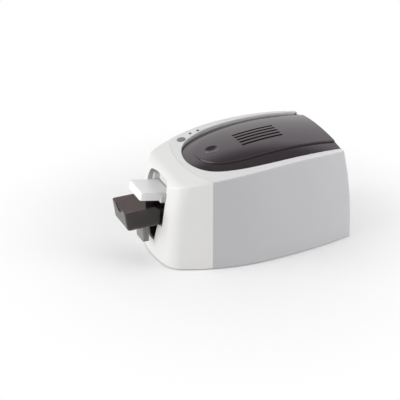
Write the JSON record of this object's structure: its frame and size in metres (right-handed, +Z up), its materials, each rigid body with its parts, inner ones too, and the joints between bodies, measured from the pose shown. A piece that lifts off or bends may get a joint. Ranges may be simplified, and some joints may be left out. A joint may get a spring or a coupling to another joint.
{
  "type": "id card printer",
  "caption": "Desktop plastic-card printer: barrel-shaped housing, smoked hinged lid, sloping card feeder and sliding output tray at the nose, rollers, ribbon and print head inside.",
  "frame": {"origin": "on the table, under the middle of the whole outline with the tray closed", "axes": "+Z up, nose with feeder and tray towards -Y, +X to the side that faces the picture's camera"},
  "size_m": [0.214, 0.4096, 0.1945],
  "materials": {
    "bezel_white": "satin white",
    "casing_grey": "fine texture, light grey",
    "smoked": "glossy smoked",
    "button_grey": "satin grey",
    "lamp_lens": "clear lens",
    "card_white": "smooth white",
    "inner_white": "matt white",
    "light_grey": "matt light grey",
    "dark_plastic": "matt black",
    "steel_plate": "zinc plated",
    "steel_pin": "ground steel",
    "rubber_black": "matt black",
    "roller_rubber": "dark grey rubber",
    "cleaning_rubber": "tacky light rubber",
    "gear_white": "natural nylon",
    "brass": "turned",
    "magnet": "dark plated",
    "board_green": "solder mask",
    "board_parts": "moulded",
    "ribbon": "coated film",
    "head_aluminium": "milled"
  },
  "bodies": {
    "printer": {"front_bezel": "bezel_white", "main_casing": "casing_grey", "rear_panel": "casing_grey", "base_pan": "light_grey", "rubber_feet": "rubber_black", "casing_screws": "steel_pin", "hinge_brackets": "steel_plate", "hinge_pins": "steel_pin", "status_lamps": "lamp_lens", "panel_board": "board_green", "button_dome": "rubber_black", "magnet_plate": "steel_plate", "card_feeder": "inner_white", "left_side_frame": "steel_plate", "right_side_frame": "steel_plate", "frame_cross_bars": "steel_pin", "shaft_bushes": "brass", "fixed_pins": "steel_pin", "card_guides": "inner_white", "drive_motor": "steel_plate", "ribbon_motor": "steel_plate", "main_board": "board_green", "board_parts": "board_parts", "usb_socket": "steel_plate", "dc_inlet": "dark_plastic", "ribbon_film": "ribbon"},
    "lid": {"top_cover": "smoked", "lid_magnet": "magnet"},
    "button": {"control_button": "button_grey"},
    "cards": {"card_stack": "card_white"},
    "press_lever": {"press_lever": "dark_plastic"},
    "tray": {"output_tray": "smoked", "tray_carrier": "light_grey"},
    "exit_roller": {"exit_roller": "roller_rubber", "exit_gear": "gear_white"},
    "feed_roller": {"feed_roller": "roller_rubber", "feed_gear": "gear_white"},
    "platen_roller": {"platen_roller": "roller_rubber", "platen_gear": "gear_white"},
    "rear_roller": {"rear_roller": "roller_rubber", "rear_gear": "gear_white"},
    "pick_roller": {"pick_roller": "roller_rubber", "pick_gear": "gear_white"},
    "front_idler": {"front_idler": "gear_white"},
    "middle_idler": {"middle_idler": "gear_white"},
    "rear_idler": {"rear_idler": "gear_white"},
    "drive_pinion": {"drive_pinion": "brass"},
    "cleaning_roller": {"cleaning_roller": "cleaning_rubber"},
    "exit_pinch_roller": {"exit_pinch_roller": "dark_plastic"},
    "rear_pinch_roller": {"rear_pinch_roller": "dark_plastic"},
    "supply_spool": {"supply_spool": "dark_plastic", "supply_roll": "ribbon"},
    "take_up_spool": {"take_up_spool": "dark_plastic", "take_up_roll": "ribbon", "take_up_gear": "gear_white"},
    "ribbon_pinion": {"ribbon_pinion": "brass"},
    "print_head": {"head_bracket": "steel_plate", "print_head": "head_aluminium"}
  },
  "joints": [
    {"name": "lid_hinge", "type": "hinge", "parent": "printer", "child": "lid", "pos_m": [0, 0.1788, 0.1725], "axis": [-1, 0, 0], "range_deg": [0, 96]},
    {"name": "button_press", "type": "slide", "parent": "printer", "child": "button", "axis": [0, 0, -1], "range_m": [0, 0.0012], "stiffness_N_per_m": 900, "springref_m": -0.0006, "deforming": ["button_dome"]},
    {"name": "cards_slide", "type": "slide", "parent": "printer", "child": "cards", "axis": [0, 0.9806, -0.1959], "range_m": [-0.045, 0.0365]},
    {"name": "lever_lift", "type": "hinge", "parent": "printer", "child": "press_lever", "pos_m": [0, -0.06185, 0.12452], "axis": [-1, 0, 0], "range_deg": [0, 9]},
    {"name": "tray_slide", "type": "slide", "parent": "printer", "child": "tray", "axis": [0, -1, 0], "range_m": [0, 0.035]},
    {"name": "front_idler_spin", "type": "hinge", "parent": "printer", "child": "front_idler", "pos_m": [0, -0.062, 0.079], "axis": [1, 0, 0], "continuous": true},
    {"name": "exit_roller_spin", "type": "hinge", "parent": "printer", "child": "exit_roller", "pos_m": [0, -0.104, 0.079], "axis": [1, 0, 0], "continuous": true},
    {"name": "feed_roller_spin", "type": "hinge", "parent": "printer", "child": "feed_roller", "pos_m": [0, -0.02, 0.079], "axis": [1, 0, 0], "continuous": true},
    {"name": "platen_spin", "type": "hinge", "parent": "printer", "child": "platen_roller", "pos_m": [0, 0.034, 0.079], "axis": [1, 0, 0], "continuous": true},
    {"name": "rear_roller_spin", "type": "hinge", "parent": "printer", "child": "rear_roller", "pos_m": [0, 0.0805, 0.079], "axis": [1, 0, 0], "continuous": true},
    {"name": "pick_roller_spin", "type": "hinge", "parent": "printer", "child": "pick_roller", "pos_m": [0, -0.095, 0.09978], "axis": [1, 0, 0], "continuous": true},
    {"name": "middle_idler_spin", "type": "hinge", "parent": "printer", "child": "middle_idler", "pos_m": [0, 0.007, 0.079], "axis": [1, 0, 0], "continuous": true},
    {"name": "rear_idler_spin", "type": "hinge", "parent": "printer", "child": "rear_idler", "pos_m": [0, 0.05725, 0.079], "axis": [1, 0, 0], "continuous": true},
    {"name": "drive_pinion_spin", "type": "hinge", "parent": "printer", "child": "drive_pinion", "pos_m": [0, 0.007, 0.055], "axis": [1, 0, 0], "continuous": true},
    {"name": "cleaning_roller_spin", "type": "hinge", "parent": "printer", "child": "cleaning_roller", "pos_m": [0, -0.02, 0.0926], "axis": [1, 0, 0], "continuous": true},
    {"name": "exit_pinch_spin", "type": "hinge", "parent": "printer", "child": "exit_pinch_roller", "pos_m": [0, -0.104, 0.0901], "axis": [1, 0, 0], "continuous": true},
    {"name": "rear_pinch_spin", "type": "hinge", "parent": "printer", "child": "rear_pinch_roller", "pos_m": [0, 0.0805, 0.0916], "axis": [1, 0, 0], "continuous": true},
    {"name": "supply_spin", "type": "hinge", "parent": "printer", "child": "supply_spool", "pos_m": [0, 0.088, 0.133], "axis": [1, 0, 0], "continuous": true},
    {"name": "take_up_spin", "type": "hinge", "parent": "printer", "child": "take_up_spool", "pos_m": [0, -0.008, 0.128], "axis": [1, 0, 0], "continuous": true},
    {"name": "ribbon_pinion_spin", "type": "hinge", "parent": "printer", "child": "ribbon_pinion", "pos_m": [0, -0.008, 0.104], "axis": [1, 0, 0], "continuous": true},
    {"name": "head_lift", "type": "hinge", "parent": "printer", "child": "print_head", "pos_m": [0, 0.066, 0.12], "axis": [-1, 0, 0], "range_deg": [0, 6], "stiffness_Nm_per_rad": 2, "springref_deg": -3.44}
  ],
  "couplings": [
    {"joint": "exit_roller_spin", "follows": "front_idler_spin", "ratio": -2.5},
    {"joint": "feed_roller_spin", "follows": "front_idler_spin", "ratio": -2.5},
    {"joint": "pick_roller_spin", "follows": "front_idler_spin", "ratio": -3.3333},
    {"joint": "middle_idler_spin", "follows": "front_idler_spin", "ratio": 2},
    {"joint": "platen_spin", "follows": "front_idler_spin", "ratio": -2.5},
    {"joint": "rear_idler_spin", "follows": "front_idler_spin", "ratio": 2.6667},
    {"joint": "rear_roller_spin", "follows": "front_idler_spin", "ratio": -2.5},
    {"joint": "drive_pinion_spin", "follows": "front_idler_spin", "ratio": -3.3333},
    {"joint": "take_up_spin", "follows": "supply_spin", "ratio": 1.5455},
    {"joint": "ribbon_pinion_spin", "follows": "supply_spin", "ratio": -2.5758}
  ]
}
